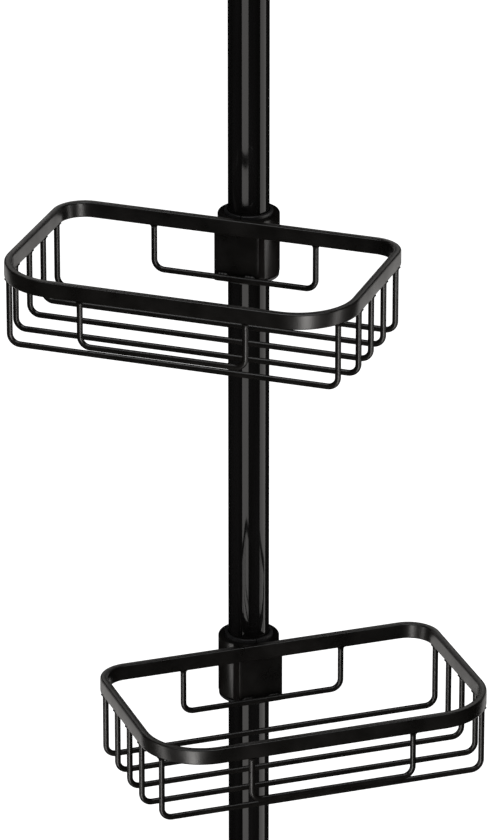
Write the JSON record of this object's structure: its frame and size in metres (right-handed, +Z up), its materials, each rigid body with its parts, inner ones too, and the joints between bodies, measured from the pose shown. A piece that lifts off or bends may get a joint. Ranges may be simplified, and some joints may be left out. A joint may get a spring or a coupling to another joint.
{
  "type": "shower caddy",
  "caption": "Telescopic tension pole with two black wire baskets that slide up and down it and swivel about it.",
  "frame": {"origin": "centre of the floor pad's underside, on the pole's axis", "axes": "+Z up along the pole; the baskets hang towards -Y"},
  "size_m": [0.2868, 0.2037, 0.8663],
  "materials": {
    "powder_coat": "satin black powder coat",
    "gloss_tube": "gloss black enamel",
    "plastic": "matt moulded black plastic",
    "rubber": "matt black rubber",
    "spring_steel": "bright spring steel"
  },
  "bodies": {
    "pole": {"floor_pad": "rubber", "foot_cup": "plastic", "outer_tube": "gloss_tube", "lower_lock_ferrule": "plastic", "lower_lock_collet": "plastic"},
    "lower_lock": {"lower_lock_nut": "plastic"},
    "middle_mast": {"middle_tube": "gloss_tube", "middle_guide_bush": "plastic", "upper_lock_ferrule": "plastic", "upper_lock_collet": "plastic"},
    "upper_lock": {"upper_lock_nut": "plastic"},
    "inner_mast": {"inner_tube": "gloss_tube", "inner_guide_bush": "plastic", "spring_seat": "plastic", "top_bush": "plastic", "pressure_spring": "spring_steel"},
    "plunger": {"plunger_rod": "gloss_tube", "plunger_collar": "spring_steel", "ceiling_cup": "plastic", "ceiling_pad": "rubber"},
    "upper_sleeve": {"upper_sleeve_left": "plastic", "upper_sleeve_right": "plastic"},
    "upper_basket": {"upper_rim": "powder_coat", "upper_floor_wire_1": "powder_coat", "upper_floor_wire_2": "powder_coat", "upper_floor_wire_3": "powder_coat", "upper_floor_wire_4": "powder_coat", "upper_floor_wire_5": "powder_coat", "upper_front_guard": "powder_coat", "upper_back_guard": "powder_coat", "upper_hub": "powder_coat"},
    "lower_sleeve": {"lower_sleeve_left": "plastic", "lower_sleeve_right": "plastic"},
    "lower_basket": {"lower_rim": "powder_coat", "lower_floor_wire_1": "powder_coat", "lower_floor_wire_2": "powder_coat", "lower_floor_wire_3": "powder_coat", "lower_floor_wire_4": "powder_coat", "lower_floor_wire_5": "powder_coat", "lower_front_guard": "powder_coat", "lower_back_guard": "powder_coat", "lower_hub": "powder_coat"}
  },
  "joints": [
    {"name": "lower_lock_twist", "type": "hinge", "parent": "pole", "child": "lower_lock", "pos_m": [0, 0, 0.67], "axis": [0, 0, 1], "range_deg": [0, 120]},
    {"name": "middle_extend", "type": "slide", "parent": "pole", "child": "middle_mast", "axis": [0, 0, 1], "range_m": [0, 0.5]},
    {"name": "upper_lock_twist", "type": "hinge", "parent": "middle_mast", "child": "upper_lock", "pos_m": [0, 0, 0.73], "axis": [0, 0, 1], "range_deg": [0, 120]},
    {"name": "inner_extend", "type": "slide", "parent": "middle_mast", "child": "inner_mast", "axis": [0, 0, 1], "range_m": [0, 0.5]},
    {"name": "plunger_press", "type": "slide", "parent": "inner_mast", "child": "plunger", "axis": [0, 0, 1], "range_m": [-0.03, 0], "stiffness_N_per_m": 1500, "springref_m": 0.02, "deforming": ["pressure_spring"]},
    {"name": "upper_basket_slide", "type": "slide", "parent": "pole", "child": "upper_sleeve", "axis": [0, 0, 1], "range_m": [-0.1, 0.1]},
    {"name": "upper_basket_swivel", "type": "hinge", "parent": "upper_sleeve", "child": "upper_basket", "pos_m": [0, 0, 0.494], "axis": [0, 0, 1], "continuous": true},
    {"name": "lower_basket_slide", "type": "slide", "parent": "pole", "child": "lower_sleeve", "axis": [0, 0, 1], "range_m": [-0.1, 0.1]},
    {"name": "lower_basket_swivel", "type": "hinge", "parent": "lower_sleeve", "child": "lower_basket", "pos_m": [0, 0, 0.215], "axis": [0, 0, 1], "continuous": true}
  ]
}
